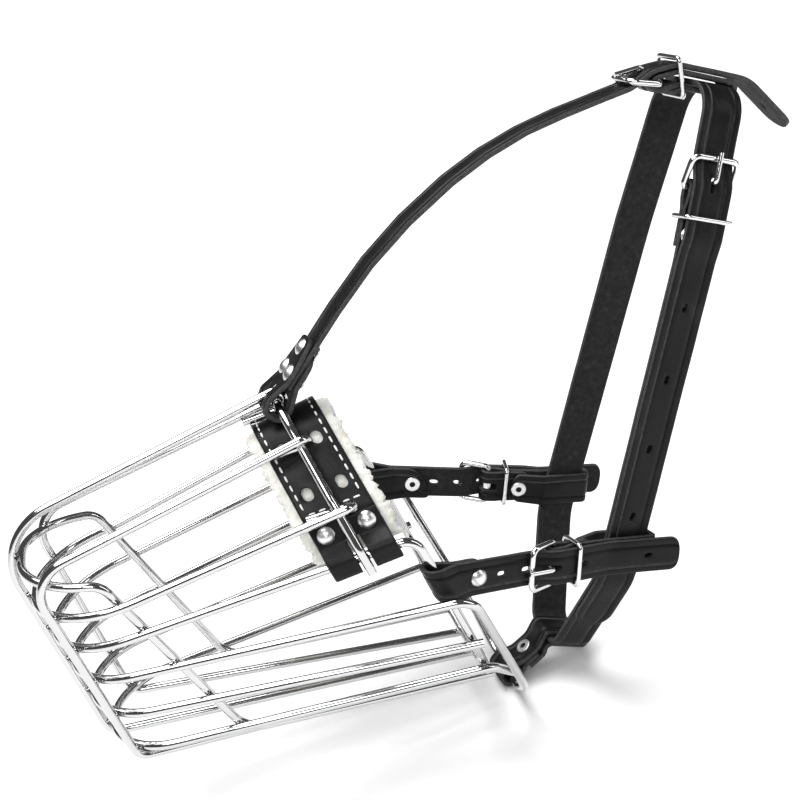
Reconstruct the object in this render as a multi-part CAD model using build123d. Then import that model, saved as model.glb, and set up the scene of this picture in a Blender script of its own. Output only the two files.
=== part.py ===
from build123d import *
import math
import os

os.makedirs("parts", exist_ok=True)

# Basket muzzle. Millimetres, +Z up, the nose points to -X and the dog's left side is -Y.
# The origin is the middle of the basket's rear opening.

# ---- driving dimensions -------------------------------------------------------------
WIRE = 3.5              # basket wire diameter
LAP = 3.4               # spacing of two welded wires, centre to centre
FRONT_X = -127.3        # front of the hoop wires at z = 0
FRONT_LEAN = -0.148     # x of the front wires per mm of height
ARCH_LEAN = 13.0        # lean of the nose arch and nose pad, degrees
ARCH_X = -8.7           # x of the nose arch at z = 0
LEATHER = 2.0           # thickness of every strap
STRAP_WIDTH = 14.0      # cheek, forehead and throat straps
COLLAR_WIDTH = 16.0     # collar strap
BUCKLE_WIRE = 2.4       # wire of the buckle frames
KEEPER_WIRE = 1.8       # wire of the metal keepers
RIVET_CAP = 6.6         # diameter of a rivet's cap
SHANK = 3.2             # diameter of a rivet's hollow shank
COLLAR_TILT = 24.6      # lean of the collar from vertical, degrees
COLLAR_BASE = (61.6, 0.0, -82.0)    # foot of the collar's plane
CHEEK_PIVOT = (12.1, 47.1, -2.0)    # where the right cheek strap folds round the rim
CHEEK_JOIN = (88.0, 30.5, -24.4)    # where the right cheek strap meets the collar


def save(name, *solids):
    """Write the solids of one node as one STEP file."""
    shape = solids[0] if len(solids) == 1 else Compound(children=list(solids))
    shape.label = name
    export_step(shape, f"parts/{name}.step")


def solid_of(shape):
    """The one solid that a boolean leaves."""
    return max(shape.solids(), key=lambda s: s.volume)


def rod(path, diameter):
    """A round wire along a path."""
    start = Plane(origin=path @ 0, z_dir=path % 0)
    return solid_of(sweep(start * Circle(diameter / 2), path=path))


def bent_wire(points, radii, diameter=WIRE, close=False):
    """A round wire along straight runs with rounded corners."""
    return rod(FilletPolyline(*points, radius=radii, close=close), diameter)


def offset_line(points, radii, gap):
    """The filleted line that runs beside another at a constant gap, to its left."""
    steps = [(b[0] - a[0], b[1] - a[1]) for a, b in zip(points, points[1:])]
    steps = [(x / math.hypot(x, y), y / math.hypot(x, y)) for x, y in steps]
    beside = [(points[0][0] - gap * steps[0][1], points[0][1] + gap * steps[0][0])]
    rounded = []
    for point, before, after, radius in zip(points[1:], steps, steps[1:], radii):
        turn = before[0] * after[1] - before[1] * after[0]
        share = gap / (1 + before[0] * after[0] + before[1] * after[1])
        normal = (-before[1] - after[1], before[0] + after[0])
        beside.append((point[0] + share * normal[0], point[1] + share * normal[1]))
        rounded.append(radius - gap if turn > 0 else radius + gap)
    last = points[-1]
    beside.append((last[0] - gap * steps[-1][1], last[1] + gap * steps[-1][0]))
    return FilletPolyline(*beside, radius=rounded)


def strap_face(points, radii, thickness=LEATHER):
    """The side view of a strap that follows a filleted line."""
    left = offset_line(points, radii, thickness / 2)
    right = offset_line(points, radii, -thickness / 2)
    ends = [Line(left @ 0, right @ 0), Line(left @ 1, right @ 1)]
    return make_face(left.edges() + right.edges() + [line.edge() for line in ends])


def band(plane, points, radii, width, thickness=LEATHER):
    """A flat strap: its side view in the plane, extruded both ways across it."""
    return solid_of(extrude(plane * strap_face(points, radii, thickness), amount=width / 2, both=True))


def mirrored(points):
    """Points of a path from one side, carried on across the middle plane."""
    return points + [(x, -y, z) for x, y, z in reversed(points)]


# ---- basket: hoops that run round the snout ------------------------------------------
def front_x(z):
    return FRONT_X + FRONT_LEAN * z


def corner_half_width(radius, x_front, end_x, end_y):
    """Half width of the front run for which the two corner arcs just meet in the middle."""
    half = end_y / 2
    for _ in range(20):
        flare = math.atan2(end_y - half, end_x - x_front)
        half = radius * math.tan((math.pi / 2 - flare) / 2)
    return half * 1.004


# front height, front radius, rear end (x, y, z)
HOOPS = {
    "top": (21.9, 33.0, (-13.0, 43.0, 36.9)),
    "upper": (6.1, 31.5, (6.8, 45.5, 18.4)),
    "middle": (-9.5, 28.0, (20.1, 57.5, -6.6)),
    "lower": (-25.8, 27.3, (21.5, 51.4, -30.3)),
    "bottom": (-42.9, 26.6, (24.0, 43.1, -47.8)),
}


def hoop_points(name):
    """Right half of a hoop, from its rear end to its front corner."""
    z_front, radius, (x, y, z) = HOOPS[name]
    x_front = front_x(z_front)
    half = corner_half_width(radius, x_front, x, y)
    points = [(x, y, z), (x_front, half, z_front)]
    if name == "top":
        points.insert(1, (-99.0, half + 4.4, 22.9))
    return points, radius


# The rear rim lies in a leaning plane and passes inside the hoops.
RIM_X = 11.7
RIM_LEAN = -0.22


def rim_point(y, z):
    return (RIM_X + RIM_LEAN * z, y, z)


INNER_RIM = [rim_point(47.2, -4.0), rim_point(47.2, -32.0), rim_point(36.0, -54.5), rim_point(13.0, -66.0)]
OUTER_RIM = [(37.0, 36.0, -68.0), (39.0, 15.0, -83.0)]


def hairpin(end, inward):
    """The hooked end of a wire: a return leg, then three corners back to the end point."""
    def offset(run, reach):
        return (end[0] + run, end[1] + reach * inward[0], end[2] + reach * inward[1])
    return [offset(-15.0, 8.2), offset(0.0, 7.4), offset(2.6, 3.7), end]


HOOK_RADII = [2.4, 2.4, 2.4]


def top_hoop():
    points, radius = hoop_points("top")
    path = hairpin(points[0], (-0.91, -0.41)) + points[1:]
    radii = HOOK_RADII + [90.0, radius * 0.98]
    return bent_wire(mirrored(path), radii + radii[::-1])


def upper_hoop():
    points, radius = hoop_points("upper")
    loop = INNER_RIM[::-1] + points
    radii = [12.0, 16.0, 22.0, 40.0, 7.0, radius * 0.98]
    return bent_wire(mirrored(loop), radii + radii[::-1], close=True)


def middle_hoop():
    points, radius = hoop_points("middle")
    loop = OUTER_RIM[::-1] + points
    radii = [14.0, 30.0, 9.0, radius * 0.98]
    return bent_wire(mirrored(loop), radii + radii[::-1], close=True)


def lower_hoop():
    points, radius = hoop_points("lower")
    return bent_wire(mirrored(points), [radius * 0.98, radius * 0.98])


def bottom_hoop():
    points, radius = hoop_points("bottom")
    radii = [8.0, radius * 0.98]
    return bent_wire(mirrored([(35.4, 34.9, -60.9)] + points), radii + radii[::-1])


# ---- basket: wires that run over the top, down the front and back underneath ------------
# y and z of the rear end, y and z of the top corner, its radius, y and z of the bottom corner,
# y and z of the rear end underneath, and how far the wire stands behind the hoops' front
FRONT_WIRES = {
    "centre": ((-23.4, 0.0, 71.3), (0.0, 50.0), 24.0, (0.0, -46.8), (28.6, 0.0, -69.6), -3.4),
    "side": ((-20.4, 23.3, 59.0), (26.2, 41.0), 14.0, (22.6, -46.4), (28.2, 15.1, -68.9), 6.6),
}


def front_wire(name, side=1):
    """One wire from the nose arch, over the front, to the rear rim underneath."""
    end, top, radius, bottom, foot, setback = FRONT_WIRES[name]
    path = hairpin(end, (-0.757, -0.655) if end[1] else (0.0, -1.0))
    for y, z in (top, bottom):
        path.append((front_x(z) + setback, y, z))
    path.append(foot)
    path = [(x, side * y, z) for x, y, z in path]
    return bent_wire(path, HOOK_RADII + [radius, 6.0])


# ---- basket: band inside the hoops -------------------------------------------------------
def snout_band():
    half = [
        (27.5, 26.5, -63.1),
        (-72.0, 26.6, -48.4),
        (-103.5, 30.3, 32.4),
        (-130.4, 26.3, 37.8),
    ]
    radii = [14.0, 8.0, 25.6]
    return bent_wire(mirrored(half), radii + radii[::-1])


# ---- nose arch and nose pad -----------------------------------------------------------------
lean = math.radians(ARCH_LEAN)
ARCH_PLANE = Plane(origin=(ARCH_X, 0, 0), x_dir=(0, 1, 0), z_dir=(math.cos(lean), 0, math.sin(lean)))


def across(points):
    """Points of one half in the arch plane, carried on across the middle."""
    return points + [(-y, v) for y, v in reversed(points)]


def nose_arch():
    half = [(46.8, 11.5), (46.4, 22.0), (38.2, 39.0), (22.8, 55.9), (12.0, 69.2)]
    radii = [8.0, 20.0, 30.0, 26.0]
    path = FilletPolyline(*across(half), radius=radii + radii[::-1])
    return rod(ARCH_PLANE * path, WIRE)


PAD_WIDTH = 26.0
PAD_FLARE = (1.0, 0.12, 0.13)   # the pad widens to the rear like the basket
PAD_SLOT = 5.4
FELT_THICK = 5.0
FELT_WIDTH = 33.0


def flared(half, radii, width, thickness):
    """One half of the pad, run out along the basket's flare, and its mirror image."""
    face = ARCH_PLANE * strap_face(half + [(-8.0, half[-1][1])], radii, thickness)
    way = Vector(*PAD_FLARE).normalized()
    amount = width / 2 / (way.dot(ARCH_PLANE.z_dir))
    right = extrude(face, amount=amount, dir=way, both=True) & Pos(0, 100, 0) * Box(400, 200, 400)
    return solid_of(right + mirror(right, about=Plane.XZ))


def nose_pad_leather():
    """The pad's legs come down inside the upper hoop and fold up round it, outside."""
    half = [(36.3, 31.4), (39.7, 23.3), (46.7, 20.8), (46.9, 13.2), (39.4, 13.2), (39.0, 19.5), (33.4, 32.9),
            (20.0, 48.5), (8.0, 61.5)]
    pad = flared(half, [3.0, 2.6, 2.8, 2.6, 6.0, 16.0, 30.0, 16.0], PAD_WIDTH, LEATHER)
    for side in (-1, 1):
        pad = pad - ARCH_PLANE * Pos(side * 44, 13.5, 0) * Box(16, 23, PAD_SLOT)
        for row in (-1, 1):
            for u, v, lean in ((26.7, 40.7, 40.7), (14.0, 55.2, 41.6)):
                aim = ARCH_PLANE * Pos(side * u, v, row * 6.6) * Rot(Z=side * lean) * Rot(Y=90)
                pad = pad - aim * extrude(SlotOverall(6.4, 4.4, rotation=90), amount=5, both=True)
            pad = pad - pad_rivet_place(side, row) * Cylinder(SHANK / 2 + 0.05, 12)
    return solid_of(pad)


def pad_rivet_place(side, row):
    """Frame on a pad leg: local Z points outward through the leather."""
    flare = row * 7.8
    return (ARCH_PLANE * Pos(side * (36.76 + 0.12 * flare), 27.6 - 0.1 * flare, flare)
            * Rot(Z=side * 22.7) * Rot(Y=side * 94.3))


def nose_pad_felt():
    half = [(36.0, 16.5), (29.6, 31.6), (17.1, 45.9), (6.3, 57.9)]
    return flared(half, [14.0, 26.0, 12.0], FELT_WIDTH, FELT_THICK)


# ---- rivets --------------------------------------------------------------------------------
def rivet(stack, rolled=True):
    """A rivet through a stack of leather, its cap on local +Z and its rolled eyelet on local -Z."""
    half = stack / 2
    cap_height = 1.5
    ball = (RIVET_CAP ** 2 / 4 + cap_height ** 2) / (2 * cap_height)
    cap = Pos(0, 0, half + cap_height - ball) * Sphere(ball)
    cap = cap & (Pos(0, 0, half + cap_height) * Box(2 * RIVET_CAP, 2 * RIVET_CAP, 2 * cap_height))
    shank = Cylinder(SHANK / 2, stack + 0.2)
    if not rolled:
        return solid_of(cap + shank)
    ring = Cylinder(RIVET_CAP / 2, 0.7)
    ring = fillet(ring.edges().sort_by(Axis.Z)[0], 0.4)
    bore = Pos(0, 0, -half - 0.8) * Cylinder(1.3, 3.0)
    return solid_of(cap + shank + Pos(0, 0, -half - 0.35) * ring - bore)


# ---- forehead tab -----------------------------------------------------------------------------
SIDE_PLANE = Plane(origin=(0, 0, 0), x_dir=(1, 0, 0), z_dir=(0, -1, 0))
ARCH_TOP = (-24.3, 67.4)        # centre of the nose arch at the middle plane, x and z
TAB_WIDTH = 16.0
TAB_TILT = 42.5                 # rise of the tab, degrees
TAB_LENGTH = 27.0


def tab_plane():
    """Local X runs up the tab from the nose arch, local Y is its upper face's normal."""
    tilt = math.radians(TAB_TILT)
    x, z = ARCH_TOP
    return Plane(origin=(x, 0, z), x_dir=(math.cos(tilt), 0, math.sin(tilt)), z_dir=(0, -1, 0))


def forehead_tab():
    gap = LEATHER / 2 + 0.05
    points = [(TAB_LENGTH, -gap - LEATHER / 2), (9.0, -gap - LEATHER / 2), (0.4, -4.9), (-4.8, -3.8), (-4.8, 3.2),
              (0.4, 4.5), (9.0, gap + LEATHER / 2), (TAB_LENGTH, gap + LEATHER / 2)]
    tab = band(tab_plane(), points, [4.0, 3.0, 2.6, 2.6, 3.0, 4.0], TAB_WIDTH)
    notch = tab_plane() * Pos(-2.0, 0, 0) * Box(16.0, 16.0, 5.6)
    tab = tab - notch
    for place in tab_rivet_places():
        tab = tab - place * Cylinder(SHANK / 2 + 0.05, 16)
    return solid_of(tab)


def tab_rivet_places():
    """Three rivets: two beside each other low down and one near the end of the tab."""
    return [tab_plane() * Pos(x, 0, z) * Rot(X=-90) for x, z in ((12.5, 4.2), (12.5, -4.2), (22.5, 0.0))]


# ---- buckles -----------------------------------------------------------------------------------
# Local frame of a buckle: origin on the heel bar, X towards the free end, Z outward.
BUCKLE_LENGTH = 11.5
BUCKLE_RISE = 3.9       # how far the free end stands out from the heel bar
TONGUE = 1.9


def buckle_frame(inner_width):
    half = (inner_width + BUCKLE_WIRE) / 2
    tilt = math.atan2(BUCKLE_RISE, BUCKLE_LENGTH)
    length = math.hypot(BUCKLE_RISE, BUCKLE_LENGTH)
    corners = [(0, -half), (length, -half), (length, half), (0, half)]
    path = FilletPolyline(*corners, radius=[2.0, 3.0, 3.0, 2.0], close=True)
    leaning = Plane(origin=(0, 0, 0), x_dir=(math.cos(tilt), 0, math.sin(tilt)),
                    z_dir=(-math.sin(tilt), 0, math.cos(tilt)))
    return rod(leaning * path, BUCKLE_WIRE)


def buckle_tongue():
    """An eye that turns on the heel bar and a pin that comes up through the strap."""
    eye = Rot(X=90) * (Cylinder(2.3, 2.6) - Cylinder(BUCKLE_WIRE / 2 + 0.08, 3.0))
    rest = BUCKLE_RISE + BUCKLE_WIRE / 2 + TONGUE / 2 + 0.12
    pin = bent_wire([(1.4, 0, 1.2), (3.4, 0, rest + 0.2), (BUCKLE_LENGTH + 2.4, 0, rest)], [1.6], TONGUE)
    return solid_of(eye + pin)


def keeper(inner_width, inner_height):
    """A closed rectangular loop of wire round the strap, in the local YZ plane."""
    half = (inner_width + KEEPER_WIRE) / 2
    rise = (inner_height + KEEPER_WIRE) / 2
    corners = [(-half, -rise), (half, -rise), (half, rise), (-half, rise)]
    path = Plane.YZ * FilletPolyline(*corners, radius=1.6, close=True)
    return rod(path, KEEPER_WIRE)


# ---- cheek straps ---------------------------------------------------------------------------------
COLLAR_TAIL = 2.15      # spacing of the collar's two layers on the left side


def cheek_plane(side):
    """Local X runs back along the strap, local Y points outward, local Z is across the strap."""
    join = CHEEK_JOIN[1] if side > 0 else CHEEK_JOIN[1] + 1.8
    start = Vector(CHEEK_PIVOT[0], side * CHEEK_PIVOT[1], CHEEK_PIVOT[2])
    end = Vector(CHEEK_JOIN[0], side * join, CHEEK_JOIN[2])
    along = (end - start).normalized()
    up = (Vector(0, 0, 1) - along * along.Z).normalized()
    return Plane(origin=start, x_dir=along, z_dir=up * side)


HOLE_LENGTH = 6.0
HOLE_WIDTH = 2.6
HEEL = 48.0             # heel bar of the cheek buckle, from the rim
FREE_END = HEEL - BUCKLE_LENGTH
CHEEK_JOIN_AT = 80.8    # the collar, from the rim
CHEEK_TAIL = 100.0
EYELET_AT = 61.3


def stack_half(side):
    """Half the thickness of the collar where the cheek loop passes round it."""
    return LEATHER / 2 + (COLLAR_TAIL / 2 if side < 0 else 0)


# The fold of a strap round a wire, with the wire at the origin.
FOLD = [(20.5, -1.05), (8.6, -1.05), (0.6, -4.1), (-4.2, -3.2), (-4.2, 3.2), (0.6, 4.1), (8.6, 1.05)]
FOLD_RADII = [5.0, 3.2, 2.7, 2.7, 3.2, 5.0]
# The fold of a strap round a buckle's heel bar: X towards the buckle's free end.
HEEL_FOLD = [(-8.0, -1.05), (-3.6, -2.4), (2.4, -2.4), (2.4, 2.4), (-3.6, 2.4), (-8.0, 1.05)]
HEEL_RADII = [4.0, 4.0, 2.3, 2.3, 4.0, 4.0]


RIM_RIVET = 14.8        # the rivet behind the fold round the rim


def cheek_fold(side):
    """The end that is folded round the leaning rim, so its fold is cut on the slant."""
    face = cheek_plane(side) * strap_face(FOLD + [(20.5, 1.05)], FOLD_RADII)
    way = Vector(0.235, side * 0.035, -0.971)
    way = way - cheek_plane(side).y_dir * way.dot(cheek_plane(side).y_dir)
    amount = STRAP_WIDTH / 2 / abs(way.dot(cheek_plane(side).z_dir))
    return extrude(face, amount=amount, dir=way, both=True)


def cheek_strap(side):
    """Folded round the rim and riveted, through the buckle, then a loose tail."""
    over = stack_half(side) + 0.9 + LEATHER + 0.4 + LEATHER / 2
    points = [(13.0, 1.05), (FREE_END + 0.5, 1.05), (HEEL - 1.2, 4.9), (64.0, 4.95), (71.0, over - 1.4),
              (CHEEK_TAIL, over + 4.2)]
    strap = band(cheek_plane(side), points, [12.0, 12.0, 14.0, 14.0], STRAP_WIDTH)
    strap = strap + cheek_fold(side) - rivet_hole(side, RIM_RIVET)
    holes = [(24.5, 1.05), (HEEL - 13.0, 1.05), (HEEL - 1.8, 4.0), (58.5, 4.9), (CHEEK_TAIL - 13.0, over + 1.6)]
    for x, y in holes:
        strap = strap - cheek_plane(side) * Pos(x, y, 0) * punched_hole()
    return round_tail(strap, cheek_plane(side), CHEEK_TAIL, STRAP_WIDTH)


def punched_hole():
    return Rot(X=90) * extrude(SlotOverall(HOLE_LENGTH, HOLE_WIDTH), amount=2.4, both=True)


def rivet_hole(side, x):
    return cheek_plane(side) * Pos(x, 0, 0) * Rot(X=90) * Cylinder(SHANK / 2 + 0.05, 14)


def round_tail(strap, plane, end, width):
    """Cut the last stretch of a strap to a half-round end."""
    reach = width / 2
    block = Pos(end - reach / 2 + 3, 0, 0) * Box(reach + 6, 40, width + 2)
    disc = Pos(end - reach, 0, 0) * Rot(X=90) * Cylinder(reach, 60)
    return solid_of(strap - plane * (block - disc))


def cheek_loop(side):
    """The short strap that holds the buckle and passes round the collar."""
    half = stack_half(side) + 0.9 + LEATHER / 2
    lift = 1.9
    x = CHEEK_JOIN_AT
    start = [(66.5, -1.05)]
    fold = [(HEEL - u, v) for u, v in HEEL_FOLD]
    ring = [(x - 14.8, 1.05), (x - 9.5, half - lift + 0.2), (x + 10.6, half + lift), (x + 10.9, -half + lift + 0.4),
            (x - 9.5, -half - lift), (65.0, -3.2), (58.6, -3.2)]
    radii = HEEL_RADII + [6.0, 6.0, 1.6, 1.6, 5.0, 5.0]
    loop = band(cheek_plane(side), start + fold + ring, radii, STRAP_WIDTH)
    slot = cheek_plane(side) * Pos(HEEL - 0.5, 0, 0) * Box(9.0, 8.0, 3.6)
    return solid_of(loop - slot - rivet_hole(side, EYELET_AT))


def cheek_buckle_place(side):
    """Frame of the cheek buckle: X towards the basket, Z outward."""
    plane = cheek_plane(side)
    return Plane(origin=plane.from_local_coords(Vector(HEEL, 0, 0)), x_dir=plane.x_dir * -1, z_dir=plane.y_dir)


def cheek_place(side, x, y):
    """A point on the cheek strap with local Z outward."""
    plane = cheek_plane(side)
    return Plane(origin=plane.from_local_coords(Vector(x, y, 0)), x_dir=plane.x_dir, z_dir=plane.y_dir)


# ---- collar ------------------------------------------------------------------------------------------
# In the collar's plane local X is across the neck and local Y runs up the plane.
lean_back = math.radians(COLLAR_TILT)
COLLAR_PLANE = Plane(origin=COLLAR_BASE, x_dir=(0, 1, 0), z_dir=(math.cos(lean_back), 0, -math.sin(lean_back)))
COLLAR_HEEL = (-22.85, 205.0)
COLLAR_SLANT = math.radians(82.4)
CROWN_UP = 241.5        # the crown of the collar, measured up its plane
COLLAR_FOOT = 8.0       # the bottom of the collar, measured up its plane
TAIL_TIP = (-21.7, 24.2)    # where the collar's loose tail ends


def near_heel(x, z):
    """A point in the collar's plane: x up from the buckle's heel bar, z outward."""
    c, s = math.cos(COLLAR_SLANT), math.sin(COLLAR_SLANT)
    return (COLLAR_HEEL[0] + x * c - z * s, COLLAR_HEEL[1] + x * s + z * c)


def collar_strap():
    """Folded at the buckle, down the left side, under the throat, over the crown, and back down."""
    points = [near_heel(-21.5, -1.05)]
    points += [near_heel(x, z) for x, z in HEEL_FOLD]
    points += [near_heel(-27.0, 1.05), (-31.6, 52.0), (-11.5, COLLAR_FOOT), (11.5, COLLAR_FOOT), (31.0, 52.0),
               (25.5, 185.0), (19.05, CROWN_UP), (-19.05, CROWN_UP)]
    points += [near_heel(11.0, 1.05), near_heel(1.2, 4.9), near_heel(-18.0, 4.95), near_heel(-25.5, 3.3)]
    points += [(-33.9, 51.4), TAIL_TIP]
    radii = HEEL_RADII + [60.0, 22.0, 8.0, 8.0, 22.0, 60.0, 12.0, 12.0, 12.0, 12.0, 14.0, 20.0, 24.0]
    strap = band(COLLAR_PLANE, points, radii, COLLAR_WIDTH)
    strap = strap - collar_place(0.5, -0.225) * Box(9.0, 3.6, 7.55)
    for z in (-4.2, 4.2):
        strap = strap - collar_place(-17.0, 0) * Pos(0, z, 0) * Cylinder(SHANK / 2 + 0.05, 5.6)
    strap = strap - collar_place(1.8, 4.2) * extrude(SlotOverall(HOLE_LENGTH, HOLE_WIDTH), amount=2.4, both=True)
    for index in range(4):
        u, v = near_heel(-25.5, 3.3)
        share = (18.0 + 28.0 * index) / (v - 51.4)
        place = Pos(u + (-33.9 - u) * share, v + (51.4 - v) * share, 0)
        hole = Rot(Y=-90) * extrude(SlotOverall(HOLE_LENGTH, HOLE_WIDTH, rotation=90), amount=1.07, both=True)
        strap = strap - COLLAR_PLANE * place * Pos(-0.05, 0, 0) * hole
    turn = math.degrees(math.atan2(TAIL_TIP[1] - 51.4, TAIL_TIP[0] + 33.9))
    end = COLLAR_PLANE * Pos(TAIL_TIP[0], TAIL_TIP[1], 0) * Rot(Z=turn)
    reach = COLLAR_WIDTH / 2
    block = Pos(-reach / 2 + 3, 0, 0) * Box(reach + 6, 2.1, COLLAR_WIDTH + 2)
    disc = Pos(-reach, 0, 0) * Rot(X=90) * Cylinder(reach, 4)
    return solid_of(strap - end * (block - disc))


def collar_place(x, z):
    """Frame at the collar buckle: X up the strap, Z outward from the neck."""
    plane = COLLAR_PLANE
    u, v = near_heel(x, z)
    up = plane.x_dir * math.cos(COLLAR_SLANT) + plane.y_dir * math.sin(COLLAR_SLANT)
    out = plane.x_dir * -math.sin(COLLAR_SLANT) + plane.y_dir * math.cos(COLLAR_SLANT)
    return Plane(origin=plane.from_local_coords(Vector(u, v, 0)), x_dir=up, z_dir=out)


# ---- forehead strap and crown buckle -----------------------------------------------------------------------
CROWN_X = COLLAR_BASE[0] + CROWN_UP * math.sin(lean_back)
CROWN_Z = COLLAR_BASE[2] + CROWN_UP * math.cos(lean_back)
CROWN_HEEL = (CROWN_X - 19.8, CROWN_Z + 5.9)


def round_collar(along, out):
    """A point at the crown: along the collar's width to the rear, and out from its face."""
    return (CROWN_X + along * math.cos(lean_back) + out * math.sin(lean_back),
            CROWN_Z - along * math.sin(lean_back) + out * math.cos(lean_back))


def tab_point(along, out):
    tilt = math.radians(TAB_TILT)
    return (ARCH_TOP[0] + along * math.cos(tilt) - out * math.sin(tilt),
            ARCH_TOP[1] + along * math.sin(tilt) + out * math.cos(tilt))


def crown_place(x, z):
    """Frame at the crown buckle: X to the front, Z up."""
    return Plane(origin=(CROWN_HEEL[0] - x, 0, CROWN_HEEL[1] + z), x_dir=(-1, 0, 0), z_dir=(0, 0, 1))


def forehead_strap():
    hx, hz = CROWN_HEEL
    tail = (hx + 52.5, hz - 30.5)
    points = [tab_point(7.5, 0), tab_point(72.5, 0), (80.8, 139.4), (hx - BUCKLE_LENGTH + 0.5, hz + 1.05),
              (hx - 1.2, hz + 4.9), (hx + 8.7, hz + 4.7), round_collar(15.5, 4.9), tail]
    strap = band(SIDE_PLANE, points, [60.0, 80.0, 12.0, 10.0, 14.0, 16.0], STRAP_WIDTH)
    for place in tab_rivet_places():
        strap = strap - place * Cylinder(SHANK / 2 + 0.05, 16)
    strap = strap - crown_place(1.8, 4.2) * extrude(SlotOverall(HOLE_LENGTH, HOLE_WIDTH), amount=2.4, both=True)
    start = round_collar(15.5, 4.9)
    turn = math.degrees(math.atan2(tail[1] - start[1], tail[0] - start[0]))
    end = SIDE_PLANE * Pos(tail[0], tail[1], 0) * Rot(Z=turn)
    hole = Pos(-13.0, 0, 0) * punched_hole()
    reach = STRAP_WIDTH / 2
    block = Pos(-reach / 2 + 3, 0, 0) * Box(reach + 6, 6, STRAP_WIDTH + 2)
    disc = Pos(-reach, 0, 0) * Rot(X=90) * Cylinder(reach, 10)
    return solid_of(strap - end * (block - disc) - end * hole)


def crown_loop():
    """The short strap under the crown buckle, looped round the collar."""
    hx, hz = CROWN_HEEL
    points = [(hx + 7.6, hz - 2.4), (hx - 2.4, hz - 2.4), (hx - 2.4, hz + 2.4), (hx + 8.7, hz + 2.2),
              round_collar(10.6, 2.5), round_collar(10.6, -2.5), round_collar(-9.6, -2.5), (hx + 8.6, hz - 4.6),
              (hx + 4.6, hz - 4.6)]
    loop = band(SIDE_PLANE, points, [2.3, 2.3, 10.0, 1.7, 1.7, 3.0, 3.0], STRAP_WIDTH)
    loop = loop - crown_place(0.5, 0.3) * Box(9.0, 3.6, 7.6)
    return loop


# ---- throat strap ----------------------------------------------------------------------------------------
THROAT_RISE = math.radians(26.6)
RIM_FOOT = (OUTER_RIM[1][0], OUTER_RIM[1][2])
FOOT_X = COLLAR_BASE[0] + COLLAR_FOOT * math.sin(lean_back)
FOOT_Z = COLLAR_BASE[2] + COLLAR_FOOT * math.cos(lean_back)


def round_foot(along, out):
    return (FOOT_X + along * math.cos(lean_back) + out * math.sin(lean_back),
            FOOT_Z - along * math.sin(lean_back) + out * math.cos(lean_back))


def throat_point(along, out):
    c, s = math.cos(THROAT_RISE), math.sin(THROAT_RISE)
    return (RIM_FOOT[0] + along * c - out * s, RIM_FOOT[1] + along * s + out * c)


def throat_strap():
    """Folded round the foot of the outer rim and looped round the foot of the collar."""
    points = [throat_point(x, y) for x, y in [(14.5, -1.05), (7.6, -1.05)] + FOLD[2:-1] + [(7.6, 1.05)]]
    points += [throat_point(15.8, 1.05), round_foot(-9.0, 2.7), round_foot(10.5, 2.6), round_foot(10.5, -2.6),
               round_foot(-8.2, -2.6), throat_point(16.6, -3.2), throat_point(8.4, -3.2)]
    radii = FOLD_RADII + [8.0, 2.6, 1.6, 1.6, 3.0, 3.0]
    strap = band(SIDE_PLANE, points, radii, STRAP_WIDTH)
    return solid_of(strap - throat_rivet_place() * Cylinder(SHANK / 2 + 0.05, 12))


def throat_rivet_place():
    x, z = throat_point(11.7, -1.07)
    return Plane(origin=(x, 0, z), x_dir=(math.cos(THROAT_RISE), 0, math.sin(THROAT_RISE)),
                 z_dir=(-math.sin(THROAT_RISE), 0, math.cos(THROAT_RISE)))


# ---- the nodes ---------------------------------------------------------------------------------------------
def basket():
    save("centre_wire", front_wire("centre"))
    save("left_front_wire", front_wire("side", -1))
    save("right_front_wire", front_wire("side", 1))
    save("top_hoop_wire", top_hoop())
    save("upper_hoop_wire", upper_hoop())
    save("middle_hoop_wire", middle_hoop())
    save("lower_hoop_wire", lower_hoop())
    save("bottom_hoop_wire", bottom_hoop())
    save("snout_band_wire", snout_band())
    save("nose_arch_wire", nose_arch())
    save("nose_pad_leather", nose_pad_leather())
    save("nose_pad_felt", nose_pad_felt())
    pad_rivets = [pad_rivet_place(side, row) * rivet(4.15, False) for side in (-1, 1) for row in (-1, 1)]
    save("nose_pad_rivets", *pad_rivets)
    save("forehead_tab", forehead_tab())
    save("forehead_tab_rivets", *[place * rivet(6.2) for place in tab_rivet_places()])


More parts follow.
